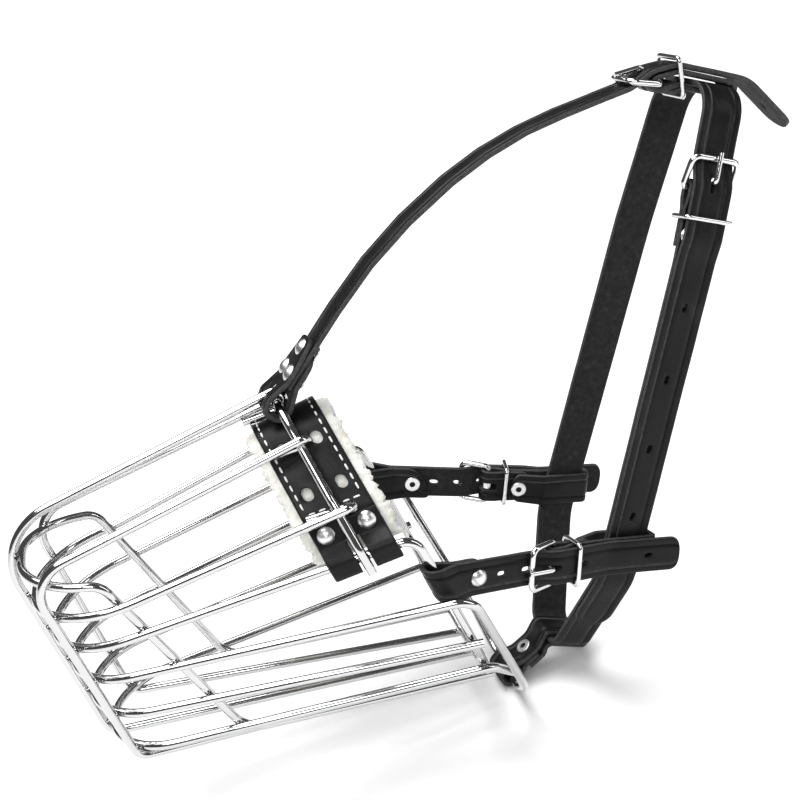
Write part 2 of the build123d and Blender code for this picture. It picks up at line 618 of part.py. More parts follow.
def harness():
    save("forehead_strap", forehead_strap())
    save("crown_loop_strap", crown_loop())
    save("crown_buckle_frame", crown_place(0, 0) * buckle_frame(STRAP_WIDTH + 0.6))
    save("crown_buckle_tongue", crown_place(0, 0) * buckle_tongue())
    save("crown_keeper", crown_place(-8.2, 0.05) * keeper(STRAP_WIDTH + 0.8, 12.6))
    save("collar_strap", collar_strap())
    save("collar_buckle_frame", collar_place(0, 0) * buckle_frame(COLLAR_WIDTH + 0.6))
    save("collar_buckle_tongue", collar_place(0, 0) * buckle_tongue())
    save("collar_keeper", collar_place(-10.5, 1.9) * keeper(COLLAR_WIDTH + 0.8, 9.2))
    rivets = [collar_place(-17.0, 0) * Pos(0, z, 0) * rivet(4.15) for z in (-4.2, 4.2)]
    save("collar_rivets", *rivets)
    save("throat_strap", throat_strap())
    save("throat_rivet", throat_rivet_place() * Rot(X=180) * rivet(6.35))
    for side, word in ((-1, "left"), (1, "right")):
        save(f"{word}_cheek_strap", cheek_strap(side))
        save(f"{word}_cheek_loop_strap", cheek_loop(side))
        save(f"{word}_cheek_buckle_frame", cheek_buckle_place(side) * buckle_frame(STRAP_WIDTH + 0.6))
        save(f"{word}_cheek_buckle_tongue", cheek_buckle_place(side) * buckle_tongue())
        save(f"{word}_cheek_keeper", cheek_place(side, HEEL + 7.6, 1.75) * keeper(STRAP_WIDTH + 0.8, 9.0))
        save(f"{word}_cheek_rim_rivet", cheek_place(side, RIM_RIVET, 0) * rivet(4.15))
        save(f"{word}_cheek_loop_rivet", cheek_place(side, EYELET_AT, -1.07) * rivet(6.35))


basket()
harness()
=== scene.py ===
import math

import bpy
import bmesh
from mathutils import Matrix, Vector, noise


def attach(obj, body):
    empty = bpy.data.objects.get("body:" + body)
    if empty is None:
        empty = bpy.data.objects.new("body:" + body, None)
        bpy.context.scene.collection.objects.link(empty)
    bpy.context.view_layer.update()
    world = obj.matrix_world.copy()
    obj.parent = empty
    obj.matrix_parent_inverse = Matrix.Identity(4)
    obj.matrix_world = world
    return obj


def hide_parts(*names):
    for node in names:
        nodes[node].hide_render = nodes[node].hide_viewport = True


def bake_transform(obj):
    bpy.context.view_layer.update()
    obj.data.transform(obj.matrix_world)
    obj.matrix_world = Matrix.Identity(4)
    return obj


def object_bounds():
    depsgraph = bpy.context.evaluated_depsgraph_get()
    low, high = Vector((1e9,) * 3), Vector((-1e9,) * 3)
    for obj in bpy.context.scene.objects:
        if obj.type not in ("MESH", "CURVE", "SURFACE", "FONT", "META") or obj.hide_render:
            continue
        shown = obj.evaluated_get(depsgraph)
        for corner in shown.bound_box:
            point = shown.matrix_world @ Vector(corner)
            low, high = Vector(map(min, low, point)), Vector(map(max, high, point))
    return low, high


# Basket muzzle. The paths below are in millimetres, in the CAD part's frame, and every mesh is in metres.
MM = 0.001
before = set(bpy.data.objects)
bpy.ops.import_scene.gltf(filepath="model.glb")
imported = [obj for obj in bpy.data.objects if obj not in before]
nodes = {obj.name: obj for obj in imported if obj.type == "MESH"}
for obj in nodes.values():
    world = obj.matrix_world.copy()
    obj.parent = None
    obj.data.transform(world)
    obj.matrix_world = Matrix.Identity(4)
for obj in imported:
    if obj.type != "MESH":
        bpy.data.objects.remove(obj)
cad_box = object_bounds()

LEATHER = 2.0
STRAP = 14.0
COLLAR = 16.0
FREE_HOLE = 3.8     # length of a punched hole with no tongue in it
EDGE_LINE = 3.1     # a cheek strap's pressed lines, in from its edges


# ---- materials -----------------------------------------------------------------------------------
class Nodes:
    """A material's node tree, with short helpers."""

    def __init__(self, name, rough, metallic=0.0):
        self.material = bpy.data.materials.new(name)
        self.material.use_nodes = True
        self.tree = self.material.node_tree
        self.shader = self.tree.nodes["Principled BSDF"]
        self.set("Roughness", rough)
        self.set("Metallic", metallic)
        self.coords = self.tree.nodes.new("ShaderNodeTexCoord").outputs["Object"]
        self.normal = None

    def set(self, socket, value):
        self.shader.inputs[socket].default_value = value

    def noise(self, scale, detail=3.0, stretch=None):
        node = self.tree.nodes.new("ShaderNodeTexNoise")
        node.inputs["Scale"].default_value = scale
        node.inputs["Detail"].default_value = detail
        self.link(self.stretched(stretch), node.inputs["Vector"])
        return node.outputs["Fac"]

    def cells(self, scale, feature="F1"):
        node = self.tree.nodes.new("ShaderNodeTexVoronoi")
        node.feature = feature
        node.inputs["Scale"].default_value = scale
        self.link(self.coords, node.inputs["Vector"])
        return node.outputs["Distance"]

    def stretched(self, stretch):
        if not stretch:
            return self.coords
        node = self.tree.nodes.new("ShaderNodeMapping")
        node.inputs["Scale"].default_value = stretch
        self.link(self.coords, node.inputs["Vector"])
        return node.outputs["Vector"]

    def link(self, output, socket):
        self.tree.links.new(output, socket)

    def ramp(self, value, stops):
        node = self.tree.nodes.new("ShaderNodeValToRGB")
        points = node.color_ramp.elements
        while len(points) < len(stops):
            points.new(0.5)
        for point, (at, colour) in zip(points, stops):
            point.position = at
            point.color = (*colour, 1.0)
        self.link(value, node.inputs["Fac"])
        return node.outputs["Color"]

    def colour(self, value, stops):
        self.link(self.ramp(value, stops), self.shader.inputs["Base Color"])

    def rough(self, value, low, high):
        node = self.tree.nodes.new("ShaderNodeMapRange")
        node.inputs["From Min"].default_value = 0.3
        node.inputs["From Max"].default_value = 0.7
        node.inputs["To Min"].default_value = low
        node.inputs["To Max"].default_value = high
        self.link(value, node.inputs["Value"])
        self.link(node.outputs["Result"], self.shader.inputs["Roughness"])

    def bump(self, value, strength, depth_mm):
        node = self.tree.nodes.new("ShaderNodeBump")
        node.inputs["Strength"].default_value = strength
        node.inputs["Distance"].default_value = depth_mm * MM
        self.link(value, node.inputs["Height"])
        if self.normal:
            self.link(self.normal, node.inputs["Normal"])
        self.normal = node.outputs["Normal"]
        self.link(self.normal, self.shader.inputs["Normal"])


def grain_leather(name, light=1.0):
    m = Nodes(name, 0.42)
    m.colour(m.noise(75, 5), [(0.3, (0.0025 * light,) * 3), (0.62, (0.006 * light,) * 3),
                              (0.8, (0.014 * light,) * 3)])
    m.rough(m.noise(130, 6), 0.34, 0.52)
    m.bump(m.noise(110, 4), 0.35, 0.5)
    m.bump(m.cells(900), 0.30, 0.16)
    m.bump(m.noise(2600, 3), 0.25, 0.06)
    m.set("Specular IOR Level", 0.17)
    return m.material


def flesh_leather():
    m = Nodes("leather_flesh_side", 0.88)
    m.colour(m.noise(420, 6), [(0.3, (0.004,) * 3), (0.6, (0.012,) * 3), (0.8, (0.028,) * 3)])
    m.bump(m.noise(1500, 5, (1, 1, 0.4)), 0.6, 0.3)
    m.set("Sheen Weight", 0.06)
    m.set("Sheen Roughness", 0.5)
    m.set("Specular IOR Level", 0.3)
    return m.material


def edge_leather():
    m = Nodes("leather_cut_edge", 0.7)
    m.colour(m.noise(700, 5), [(0.3, (0.012,) * 3), (0.65, (0.035,) * 3), (0.85, (0.09,) * 3)])
    m.bump(m.noise(1800, 5), 0.6, 0.25)
    return m.material


def wool_felt():
    m = Nodes("wool_felt", 0.95)
    m.colour(m.noise(220, 7), [(0.28, (0.60, 0.60, 0.54)), (0.55, (0.80, 0.80, 0.75)),
                               (0.8, (0.88, 0.88, 0.85))])
    m.bump(m.noise(420, 6), 0.7, 1.2)
    m.bump(m.noise(1900, 4), 0.6, 0.4)
    m.set("Sheen Weight", 0.5)
    m.set("Sheen Roughness", 0.6)
    m.set("Subsurface Weight", 0.12)
    m.set("Subsurface Scale", 0.003)
    return m.material


def metal(name, tone, low, high, ripple):
    m = Nodes(name, low, 1.0)
    m.colour(m.noise(60, 3), [(0.3, (tone * 0.94,) * 3), (0.7, (tone,) * 3)])
    m.rough(m.noise(220, 5), low, high)
    m.bump(m.noise(300, 3), 0.25, ripple)
    return m.material


def white_thread():
    m = Nodes("waxed_thread", 0.6)
    m.colour(m.noise(1200, 3), [(0.3, (0.72, 0.72, 0.70)), (0.7, (0.93, 0.93, 0.92))])
    m.bump(m.noise(2600, 2, (1, 1, 3)), 0.5, 0.15)
    m.set("Sheen Weight", 0.2)
    return m.material


GRAIN = grain_leather("leather_grain")
FLESH = flesh_leather()
EDGE = edge_leather()
PAD_GRAIN = grain_leather("pad_leather_grain", 1.15)
WOOL = wool_felt()
THREAD = white_thread()
CHROME = metal("chromed_wire", 0.56, 0.06, 0.13, 0.015)
BUCKLE = metal("chromed_buckle", 0.66, 0.05, 0.12, 0.015)
NICKEL = metal("nickel_rivet", 0.74, 0.28, 0.38, 0.02)


# ---- paths ---------------------------------------------------------------------------------------
def rounded(points, radii, step=2.0):
    """Samples (place, direction) along a line with rounded corners."""
    points = [Vector(p) for p in points]
    samples = []

    def run(start, end, way):
        length = (end - start).dot(way)
        count = max(1, math.ceil(length / step))
        for k in range(count + 1):
            spot = start + way * (length * k / count)
            if not samples or (spot - samples[-1][0]).length > 0.05:
                samples.append((spot, way))

    cursor = points[0]
    for corner, radius in enumerate(radii, 1):
        before = (points[corner] - points[corner - 1]).normalized()
        after = (points[corner + 1] - points[corner]).normalized()
        turn = math.atan2(before.x * after.y - before.y * after.x, before.dot(after))
        cut = radius * math.tan(abs(turn) / 2)
        start = points[corner] - before * cut
        run(cursor, start, before)
        side = 1 if turn > 0 else -1
        centre = start + Vector((-before.y, before.x)) * (side * radius)
        count = max(3, math.ceil(math.degrees(abs(turn)) / 8))
        for k in range(1, count + 1):
            spin = Matrix.Rotation(turn * k / count, 2)
            samples.append((centre + spin @ (start - centre), spin @ before))
        cursor = points[corner] + after * cut
    run(cursor, points[-1], (points[-1] - points[-2]).normalized())
    return samples


def strap_section(width, groove, both=False):
    """Outline of a strap: across, out, and which finish the run to the next point has."""
    h, t = width / 2, LEATHER / 2
    half = [(-h, 0.2 * t, 2), (-h + 0.06, 0.6 * t, 2), (-h + 0.28, 0.9 * t, 0), (-h + 0.75, t, 0)]
    if groove:
        half += [(-h + groove - 0.65, t + 0.05, 0), (-h + groove - 0.28, t - 0.2, 0),
                 (-h + groove, t - 0.42, 0), (-h + groove + 0.28, t - 0.2, 0),
                 (-h + groove + 0.65, t + 0.05, 0)]
    half += [(-h * 0.3, t + 0.06, 0)]
    top = half + [(-w, n, 0 if n > 0.85 * t else 2) for w, n, _ in reversed(half)]
    under = 0 if both else 1
    low = [(h - 0.08, -0.55 * t, 2), (h - 0.4, -0.93 * t, under), (h - 0.9, -t, under), (h * 0.3, -t, under),
           (-h * 0.3, -t, under), (-h + 0.9, -t, under), (-h + 0.4, -0.93 * t, 2), (-h + 0.08, -0.55 * t, 2)]
    top[-3] = (top[-3][0], top[-3][1], 2)
    return top + low


def new_object(name, mesh, materials):
    for material in materials:
        mesh.materials.append(material)
    piece = bpy.data.objects.new(name, mesh)
    bpy.context.scene.collection.objects.link(piece)
    return piece


def closer_samples(samples, reach):
    """Samples with the last stretch cut finely, for a rounded end."""
    tip, way = samples[-1]
    kept = [s for s in samples if (tip - s[0]).length > reach * 1.02]
    return kept + [(tip - way * reach * (1 - math.sin(math.pi / 2 * k / 10)), way) for k in range(11)]


def end_width(back, reach, power):
    """How wide a rounded end is, as a share, at a distance back from its tip."""
    if back >= reach:
        return 1.0
    return max(0.08, max(0.0, 1 - ((reach - back) / reach) ** power) ** (1 / power))


def sweep(name, place, samples, section, materials, grain=1, head=0.0, tail=0.0, power=2.0, wobble=0.15):
    """A strap swept along its samples. head and tail are the lengths of its rounded ends."""
    if tail:
        samples = closer_samples(samples, tail)
    if head:
        turned = [(spot, -way) for spot, way in reversed(samples)]
        samples = [(spot, -way) for spot, way in reversed(closer_samples(turned, head))]
    bm = bmesh.new()
    rings = []
    for spot, way in samples:
        narrow = end_width((samples[-1][0] - spot).length, tail, power) if tail else 1.0
        if head:
            narrow = min(narrow, end_width((samples[0][0] - spot).length, head, power))
        out = Vector((-way.y, way.x)) * grain
        ring = []
        for across, height, _ in section:
            at = place(*(spot + out * height), across * narrow * grain)
            drift = noise.noise_vector(at * 0.055) * wobble + noise.noise_vector(at * 0.6) * wobble * 0.2
            ring.append(bm.verts.new((at + drift) * MM))
        rings.append(ring)
    count = len(section)
    for ring, following in zip(rings, rings[1:]):
        for k in range(count):
            after = (k + 1) % count
            face = bm.faces.new((ring[k], ring[after], following[after], following[k]))
            face.material_index = section[k][2]
    for ring in (rings[0], rings[-1]):
        bm.faces.new(ring).material_index = 2
    bmesh.ops.recalc_face_normals(bm, faces=bm.faces)
    mesh = bpy.data.meshes.new(name)
    bm.to_mesh(mesh)
    bm.free()
    return new_object(name, mesh, materials)


def cutter(place, outline, low, high, along):
    """A prism in the strap's own coordinates. along says what its outline is drawn in."""
    bm = bmesh.new()
    rings = [[bm.verts.new(along(place, a, b, c) * MM) for a, b in outline] for c in (low, high)]
    count = len(outline)
    for k in range(count):
        after = (k + 1) % count
        bm.faces.new((rings[0][k], rings[0][after], rings[1][after], rings[1][k]))
    bm.faces.new(rings[0])
    bm.faces.new(rings[1])
    bmesh.ops.recalc_face_normals(bm, faces=bm.faces)
    for face in bm.faces:
        face.material_index = 2
    return bm


def punch(place, at, turn, length=6.0, width=2.6, low=-2.4, high=2.4):
    """Cutter of an oval hole through the strap at a point where it runs at angle turn."""
    straight, reach = (length - width) / 2, width / 2
    outline = []
    for k in range(24):
        angle = 2 * math.pi * (k + 0.5) / 24
        along = math.cos(angle) * reach + math.copysign(straight, math.cos(angle))
        outline.append((along, math.sin(angle) * reach))

    def drawn(place, along, across, out):
        a = at[0] + along * math.cos(turn) - out * math.sin(turn)
        b = at[1] + along * math.sin(turn) + out * math.cos(turn)
        return place(a, b, across)
    return cutter(place, outline, low, high, drawn)


def block(place, corners, half):
    """Cutter with its corners in the strap's side view."""
    return cutter(place, corners, -half, half, lambda place, a, b, w: place(a, b, w))


def cut(piece, cutters, soften=0.22, use_self=False):
    """Take the cutters out of a piece, then soften the edges that are left."""
    for bm in cutters:
        mesh = bpy.data.meshes.new("cutter")
        bm.to_mesh(mesh)
        bm.free()
        tool = new_object("cutter", mesh, piece.data.materials)
        change = piece.modifiers.new("cut", "BOOLEAN")
        change.operation = "DIFFERENCE"
        change.solver = "EXACT"
        change.use_self = use_self
        change.use_hole_tolerant = use_self
        change.object = tool
        apply(piece)
        bpy.data.objects.remove(tool)
    if soften:
        change = piece.modifiers.new("soft", "BEVEL")
        change.width = soften * MM
        change.segments = 2
        change.limit_method = "ANGLE"
        change.angle_limit = math.radians(55)
        change.use_clamp_overlap = True
        apply(piece)
    finish_shading(piece)
    return piece


def apply(piece):
    graph = bpy.context.evaluated_depsgraph_get()
    mesh = bpy.data.meshes.new_from_object(piece.evaluated_get(graph))
    piece.modifiers.clear()
    piece.data = mesh


def finish_shading(piece):
    piece.data.shade_smooth()
    piece.data.set_sharp_from_angle(angle=math.radians(48))


LEATHERS = [GRAIN, FLESH, EDGE]


def side_view(x, z, w):
    return Vector((x, w, z))


# ---- tab and forehead strap ----------------------------------------------------------------------
ARCH_TOP = (-24.3, 67.4)
TAB_TILT = math.radians(42.5)


def tab_point(along, out):
    c, s = math.cos(TAB_TILT), math.sin(TAB_TILT)
    return (ARCH_TOP[0] + along * c - out * s, ARCH_TOP[1] + along * s + out * c)


tab_path = [(27, -2.05), (9, -2.05), (0.4, -4.9), (-4.8, -3.8), (-4.8, 3.2), (0.4, 4.5), (9, 2.05), (27, 2.05)]
tab = sweep("tab_leather", side_view, rounded([tab_point(*p) for p in tab_path], [4, 3, 2.6, 2.6, 3, 4], 1.5),
            strap_section(16.0, 0), LEATHERS, head=6.0, tail=6.0, power=2.6)
notch = [tab_point(*p) for p in ((-10, -8), (6, -8), (6, 8), (-10, 8))]
cut(tab, [block(side_view, notch, 2.8)])
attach(tab, "basket")
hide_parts("forehead_tab")

COLLAR_LEAN = math.radians(24.6)
COLLAR_BASE = Vector((61.6, 0.0, -82.0))
CROWN = (COLLAR_BASE.x + 241.5 * math.sin(COLLAR_LEAN), COLLAR_BASE.z + 241.5 * math.cos(COLLAR_LEAN))
HX, HZ = CROWN[0] - 19.8, CROWN[1] + 5.9


def round_collar(along, out, centre=CROWN):
    c, s = math.cos(COLLAR_LEAN), math.sin(COLLAR_LEAN)
    return (centre[0] + along * c + out * s, centre[1] - along * s + out * c)


def heading(start, end):
    return math.atan2(end[1] - start[1], end[0] - start[0])


tail_start, tail_end = round_collar(15.5, 4.9), (HX + 52.5, HZ - 30.5)
forehead_path = [tab_point(7.5, 0), tab_point(72.5, 0), (80.8, 139.4), (HX - 11.0, HZ + 1.05),
                 (HX - 1.2, HZ + 4.9), (HX + 8.7, HZ + 4.7), tail_start, tail_end]
forehead = sweep("forehead_leather", side_view, rounded(forehead_path, [190, 150, 12, 10, 14, 16]),
                 strap_section(STRAP, 2.7), LEATHERS, tail=STRAP / 2)
turn = heading(tail_start, tail_end)
hole = (tail_end[0] - 13 * math.cos(turn), tail_end[1] - 13 * math.sin(turn))
cut(forehead, [punch(side_view, (HX - 1.8, HZ + 4.2), 0.1), punch(side_view, hole, turn, FREE_HOLE)])
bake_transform(forehead)
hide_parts("forehead_strap")

crown_path = [(HX + 7.6, HZ - 2.4), (HX - 2.4, HZ - 2.4), (HX - 2.4, HZ + 2.4), (HX + 8.7, HZ + 2.2),
              round_collar(10.6, 2.5), round_collar(10.6, -2.5), round_collar(-9.6, -2.5),
              (HX + 8.6, HZ - 4.6), (HX + 4.6, HZ - 4.6)]
crown = sweep("crown_loop_leather", side_view, rounded(crown_path, [2.3, 2.3, 10, 1.7, 1.7, 3, 3], 1.5),
              strap_section(STRAP, 0), LEATHERS)
crown_slot = [(HX + a, HZ + b) for a, b in ((-5.0, -3.5), (4.0, -3.5), (4.0, 4.1), (-5.0, 4.1))]
cut(crown, [block(side_view, crown_slot, 1.8)])
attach(crown, "harness")
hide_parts("crown_loop_strap")

# ---- collar --------------------------------------------------------------------------------------
COLLAR_UP = Vector((math.sin(COLLAR_LEAN), 0, math.cos(COLLAR_LEAN)))
COLLAR_OUT = Vector((math.cos(COLLAR_LEAN), 0, -math.sin(COLLAR_LEAN)))
SLANT = math.radians(82.4)


def collar_view(u, v, w):
    return COLLAR_BASE + Vector((0, u, 0)) + COLLAR_UP * v + COLLAR_OUT * w


def near_heel(x, z):
    c, s = math.cos(SLANT), math.sin(SLANT)
    return (-22.85 + x * c - z * s, 205.0 + x * s + z * c)


HEEL_FOLD = [(-8.0, -1.05), (-3.6, -2.4), (2.4, -2.4), (2.4, 2.4), (-3.6, 2.4), (-8.0, 1.05)]
HEEL_RADII = [4.0, 4.0, 2.3, 2.3, 4.0, 4.0]
tail_top, tail_turn, tail_tip = near_heel(-25.5, 3.3), (-33.9, 51.4), (-21.7, 24.2)
collar_path = [near_heel(-21.5, -1.05)] + [near_heel(*p) for p in HEEL_FOLD]
collar_path += [near_heel(-27.0, 1.05), (-31.6, 52.0), (-11.5, 8.0), (11.5, 8.0), (31.0, 52.0), (25.5, 185.0),
                (19.05, 241.5), (-19.05, 241.5), near_heel(11.0, 1.05), near_heel(1.2, 4.9),
                near_heel(-18.0, 4.95), tail_top, tail_turn, tail_tip]
collar_radii = HEEL_RADII + [60, 22, 8, 8, 22, 60, 12, 12, 12, 12, 14, 20, 24]
collar = sweep("collar_leather", collar_view, rounded(collar_path, collar_radii), strap_section(COLLAR, 3.3),
               LEATHERS, grain=-1, tail=COLLAR / 2, wobble=0.08)
turn = heading(tail_top, tail_turn)
collar_slot = [near_heel(*p) for p in ((-4, -4), (5, -4), (5, 3.55), (-4, 3.55))]
collar_cuts = [block(collar_view, collar_slot, 1.8), punch(collar_view, near_heel(1.8, 4.2), SLANT)]
for index in range(4):
    share = (18.0 + 28.0 * index) / (tail_top[1] - tail_turn[1])
    spot = Vector(tail_top).lerp(Vector(tail_turn), share)
    collar_cuts.append(punch(collar_view, spot, turn, FREE_HOLE, low=-2.6, high=1.06))
cut(collar, collar_cuts)
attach(collar, "harness")
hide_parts("collar_strap")

# ---- cheek straps --------------------------------------------------------------------------------
FOLD = [(20.5, -1.05), (8.6, -1.05), (0.6, -4.1), (-4.2, -3.2), (-4.2, 3.2), (0.6, 4.1), (8.6, 1.05)]
FOLD_RADII = [5.0, 3.2, 2.7, 2.7, 3.2, 5.0]
HEEL = 48.0


def cheek_view(side, slanted=True):
    """Along the strap, outward, and across it. The fold round the rim is slanted."""
    start = Vector((12.1, side * 47.1, -2.0))
    join = Vector((88.0, side * (30.5 if side > 0 else 32.3), -24.4))
    along = (join - start).normalized()
    wide = (Vector((0, 0, 1)) - along * along.z).normalized() * side
    out = wide.cross(along)
    rim = Vector((0.235, side * 0.035, -0.971))
    shear = rim.dot(along) / rim.dot(wide) if slanted else 0.0

    def place(x, y, w):
        share = 1.0
        if y > 0:
            ease = min(1.0, max(0.0, (x - 13.0) / 14.0))
            share = 1 - ease * ease * (3 - 2 * ease)
        return start + along * (x + shear * w * share) + out * y + wide * w
    return place


for side, word in ((-1, "left"), (1, "right")):
    place = cheek_view(side)
    collar_half = LEATHER / 2 + (1.075 if side < 0 else 0)
    over = collar_half + 0.9 + LEATHER + 0.4 + LEATHER / 2
    path = FOLD + [(37.0, 1.05), (46.8, 4.9), (64.0, 4.95), (71.0, over - 1.4), (100.0, over + 4.2)]
    strap = sweep(f"{word}_cheek_leather", place, rounded(path, FOLD_RADII + [12, 12, 14, 14], 1.6),
                  strap_section(STRAP, EDGE_LINE), LEATHERS, head=5.0, tail=4.5, power=2.8)
    rise = heading(path[-2], path[-1])
    holes = [(24.5, 1.05, 0.0), (35.0, 1.05, 0.0), (58.5, 4.9, 0.0), (87.0, over + 1.6, rise)]
    tools = [punch(place, (x, y), angle, FREE_HOLE) for x, y, angle in holes]
    cut(strap, tools + [punch(place, (46.2, 4.0), 0.3)])
    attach(strap, "harness")
    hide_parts(f"{word}_cheek_strap")

    place = cheek_view(side, slanted=False)
    half, lift, x = collar_half + 0.9 + LEATHER / 2, 1.9, 80.8
    path = [(66.5, -1.05)] + [(HEEL - u, v) for u, v in HEEL_FOLD]
    path += [(x - 14.8, 1.05), (x - 9.5, half - lift + 0.2), (x + 10.6, half + lift), (x + 10.9, -half + lift + 0.4),
             (x - 9.5, -half - lift), (65.0, -3.2), (58.6, -3.2)]
    loop = sweep(f"{word}_cheek_loop_leather", place, rounded(path, HEEL_RADII + [6, 6, 1.6, 1.6, 5, 5], 1.6),
                 strap_section(STRAP, EDGE_LINE), LEATHERS, head=5.0, tail=5.0, power=2.6, wobble=0.08)
    cut(loop, [block(place, [(43.0, -4), (52.0, -4), (52.0, 4), (43.0, 4)], 1.8)])
    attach(loop, "harness")
    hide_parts(f"{word}_cheek_loop_strap")

# ---- throat strap --------------------------------------------------------------------------------
RISE = math.radians(26.6)
FOOT = (COLLAR_BASE.x + 8 * math.sin(COLLAR_LEAN), COLLAR_BASE.z + 8 * math.cos(COLLAR_LEAN))


def throat_point(along, out):
    c, s = math.cos(RISE), math.sin(RISE)
    return (39.0 + along * c - out * s, -83.0 + along * s + out * c)


def round_foot(along, out):
    return round_collar(along, out, FOOT)


throat_path = [throat_point(*p) for p in [(14.5, -1.05), (7.6, -1.05)] + FOLD[2:-1] + [(7.6, 1.05), (15.8, 1.05)]]
throat_path += [round_foot(-9.0, 2.7), round_foot(10.5, 2.6), round_foot(10.5, -2.6), round_foot(-8.2, -2.6),
                throat_point(16.6, -3.2), throat_point(8.4, -3.2)]
throat = sweep("throat_leather", side_view, rounded(throat_path, FOLD_RADII + [8, 2.6, 1.6, 1.6, 3, 3], 1.5),
               strap_section(STRAP, 2.7), LEATHERS, wobble=0.08)
cut(throat, [])
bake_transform(throat)
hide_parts("throat_strap")

# ---- nose pad ------------------------------------------------------------------------------------
LEAN = math.radians(13.0)
ARCH_UP = Vector((-math.sin(LEAN), 0, math.cos(LEAN)))
ARCH_OUT = Vector((math.cos(LEAN), 0, math.sin(LEAN)))


def pad_view(u, v, row):
    """Across the nose, up the arch, and to the rear, where the pad widens like the basket."""
    spread = 0.12 * row * max(-1.0, min(1.0, u / 8))
    return Vector((-8.7, u + spread, 0)) + ARCH_UP * (v - 0.098 * row) + ARCH_OUT * row


def both_sides(half):
    return half + [(-u, v) for u, v in reversed(half)]


pad_half = [(36.3, 31.4), (39.7, 23.3), (46.7, 20.8), (46.9, 13.2), (39.4, 13.2), (39.0, 19.5), (33.4, 32.9),
            (20.0, 48.5), (8.0, 61.5)]
pad_radii = [3.0, 2.6, 2.8, 2.6, 6.0, 16.0, 30.0, 16.0]
pad_line = rounded(both_sides(pad_half), pad_radii + pad_radii[::-1], 1.5)
pad = sweep("nose_pad_leather_piece", pad_view, pad_line, strap_section(26.0, 0, both=True),
            [PAD_GRAIN, PAD_GRAIN, EDGE], grain=-1, wobble=0.12)
pad_cuts = []
for side in (-1, 1):
    slot_corners = [(side * u, v) for u, v in ((36, 2), (52, 2), (52, 25), (36, 25))]
    pad_cuts.append(block(pad_view, slot_corners, 2.7))
cut(pad, pad_cuts, 0.0, True)
holes = []
for side in (-1, 1):
    for row in (-6.6, 6.6):
        for u, v, lean in ((26.7, 40.7, 40.7), (14.0, 55.2, 41.6)):
            turn = math.radians(90 + lean) if side > 0 else math.radians(90 - lean)

            def hole_view(a, b, w, row=row):
                return pad_view(a, b, w + row)
            holes.append(punch(hole_view, (side * u, v), turn, 5.8, 4.1, -4, 4))
cut(pad, holes, 0.3, True)
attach(pad, "basket")
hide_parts("nose_pad_leather")


def stitches(name, rows):
    """Separate stitches that lie on the pad. A row is a list of (place, way, out) in mm, one per stitch."""
    bm = bmesh.new()
    for spot, way, out in rows:
        wide = way.cross(out)
        rings = []
        for along, size, depth in ((-1.45, 0.12, -0.32), (-1.1, 0.30, -0.06), (-0.4, 0.37, 0.1), (0.4, 0.37, 0.1),
                                   (1.1, 0.30, -0.06), (1.45, 0.12, -0.32)):
            centre = spot + way * along + out * depth
            rings.append([bm.verts.new((centre + wide * math.cos(k * math.pi / 4) * size
                                        + out * math.sin(k * math.pi / 4) * size * 0.75) * MM) for k in range(8)])
        for ring, following in zip(rings, rings[1:]):
            for k in range(8):
                bm.faces.new((ring[k], ring[(k + 1) % 8], following[(k + 1) % 8], following[k]))
        bm.faces.new(rings[0])
        bm.faces.new(rings[-1])
    bmesh.ops.recalc_face_normals(bm, faces=bm.faces)
    mesh = bpy.data.meshes.new(name)
    bm.to_mesh(mesh)
    bm.free()
    piece = new_object(name, mesh, [THREAD])
    piece.data.shade_smooth()
    return piece


def on_pad(spot, way, row):
    """A point on the pad's outer face, the strap's direction there, and its outward normal."""
    out = Vector((way.y, -way.x))
    at = pad_view(*(spot + out * 1.07), row)
    ahead = pad_view(*(spot + out * 1.07 + way * 0.5), row)
    along = (ahead - at).normalized()
    rear = (pad_view(*(spot + out * 1.07), row + 0.5) - at).normalized()
    normal = along.cross(rear)
    if normal.dot(pad_view(*(spot + out * 2), row) - at) < 0:
        normal = -normal
    return at, along, normal.normalized(), rear


def walk(line, pitch):
    """Points every pitch mm along a line of samples."""
    rest, found = pitch / 2, []
    for (a, way), (b, _) in zip(line, line[1:]):
        length = (b - a).length
        while rest < length:
            found.append((a + (b - a) * (rest / length), way))
            rest += pitch
        rest -= length
    return found


top_line = [s for s in pad_line if s[0].y > 34.2]
sewn = []
for spot, way in walk(top_line, 4.0):
    for row in (-10.7, 10.7):
        sewn.append(on_pad(spot, way, row)[:3])
for spot, way in (top_line[0], top_line[-1]):
    for row in (-8.6, -4.6, 4.6, 8.6):
        at, along, out, rear = on_pad(spot, way, row)
        sewn.append((at, rear, out))
thread = stitches("nose_pad_stitching", sewn)
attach(thread, "basket")

felt_half = [(36.0, 16.5), (29.6, 31.6), (17.1, 45.9), (6.3, 57.9)]
felt_radii = [14.0, 26.0, 12.0]
felt_line = rounded(both_sides(felt_half), felt_radii + felt_radii[::-1], 0.8)


